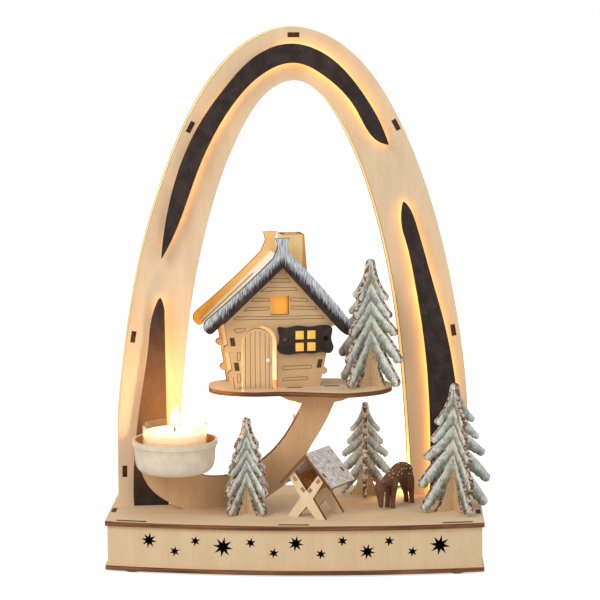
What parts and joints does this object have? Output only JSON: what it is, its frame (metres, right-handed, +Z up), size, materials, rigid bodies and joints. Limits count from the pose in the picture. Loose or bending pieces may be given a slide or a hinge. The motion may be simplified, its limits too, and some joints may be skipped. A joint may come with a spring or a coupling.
{
  "type": "candle arch",
  "caption": "Plywood candle arch on a bow-fronted box, with a raised lit house, a tealight dish, trees, a hay rack and a deer.",
  "frame": {"origin": "middle of the whole object's footprint, at the level its feet stand on", "axes": "+Z up, +X to the right along the box as seen from the front, +Y from the bowed front to the back"},
  "size_m": [0.2252, 0.1075, 0.3131],
  "materials": {
    "birch": "unfinished birch plywood",
    "house_wood": "tan stained plywood",
    "dark_wood": "charcoal stained plywood",
    "chimney_wood": "tan stained plywood",
    "knob_white": "white paint",
    "warm_pane": "translucent sheet",
    "warm_light": "clear lens",
    "lead_plastic": "satin",
    "green_wood": "grey-green stain with white brush marks",
    "rack_wood": "stained with burnt edges",
    "rack_roof": "grey stain with white glitter",
    "brown_wood": "brown stain with white dots",
    "bisque": "unglazed",
    "clear_cup": "clear",
    "wax": "satin wax",
    "wick": "charred cotton",
    "sustainer_metal": "bright",
    "felt": "felt",
    "case_plastic": "fine texture",
    "cell_jacket": "satin jacket without print",
    "contact_metal": "plated"
  },
  "bodies": {
    "stand": {"arch_back_plate": "birch", "arch_front_plate": "birch", "arch_lights": "warm_light", "arch_spacers": "birch", "attic_pane": "warm_pane", "base_back_panel": "birch", "base_bottom_plate": "birch", "base_feet": "felt", "base_front_panel": "birch", "base_left_panel": "birch", "base_right_panel": "birch", "base_top_plate": "birch", "battery_case": "case_plastic", "battery_cells": "cell_jacket", "battery_contacts": "contact_metal", "candle_dish": "bisque", "chimney": "chimney_wood", "crescent_standoffs": "birch", "curved_bracket": "birch", "deer": "brown_wood", "dish_seat": "birch", "door_knob": "knob_white", "front_left_tree_plate_a": "green_wood", "front_left_tree_plate_b": "green_wood", "front_right_tree_plate_a": "green_wood", "front_right_tree_plate_b": "green_wood", "front_verge_board": "dark_wood", "hay_rack_front_legs": "rack_wood", "hay_rack_left_roof_board": "rack_roof", "hay_rack_left_trough_board": "rack_wood", "hay_rack_rear_legs": "rack_wood", "hay_rack_right_roof_board": "rack_roof", "hay_rack_right_trough_board": "rack_wood", "house_back_wall": "house_wood", "house_door": "house_wood", "house_front_wall": "house_wood", "house_left_wall": "house_wood", "house_light": "warm_light", "house_light_lead": "lead_plastic", "house_right_wall": "house_wood", "left_crescent": "dark_wood", "platform": "birch", "platform_tree_plate_a": "green_wood", "platform_tree_plate_b": "green_wood", "rear_centre_tree_plate_a": "green_wood", "rear_centre_tree_plate_b": "green_wood", "rear_verge_board": "house_wood", "right_crescent": "dark_wood", "roof_left_board": "house_wood", "roof_right_board": "house_wood", "switch_body": "case_plastic", "top_crescent": "dark_wood", "window_panes": "warm_pane", "window_shutters": "dark_wood"},
    "tealight": {"tealight_cup": "clear_cup", "tealight_wax": "wax", "tealight_wick": "wick", "wick_sustainer": "sustainer_metal"},
    "battery_door": {"battery_door": "case_plastic"},
    "switch_slider": {"switch_slider": "case_plastic"}
  },
  "joints": [
    {"name": "tealight_lift", "type": "slide", "parent": "stand", "child": "tealight", "axis": [0, 0, 1], "range_m": [0, 0.04]},
    {"name": "battery_door_hinge", "type": "hinge", "parent": "stand", "child": "battery_door", "pos_m": [-0.0365, 0.052, 0.0086], "axis": [-1, 0, 0], "range_deg": [0, 90]},
    {"name": "switch_slide", "type": "slide", "parent": "stand", "child": "switch_slider", "axis": [1, 0, 0], "range_m": [0, 0.003]}
  ]
}
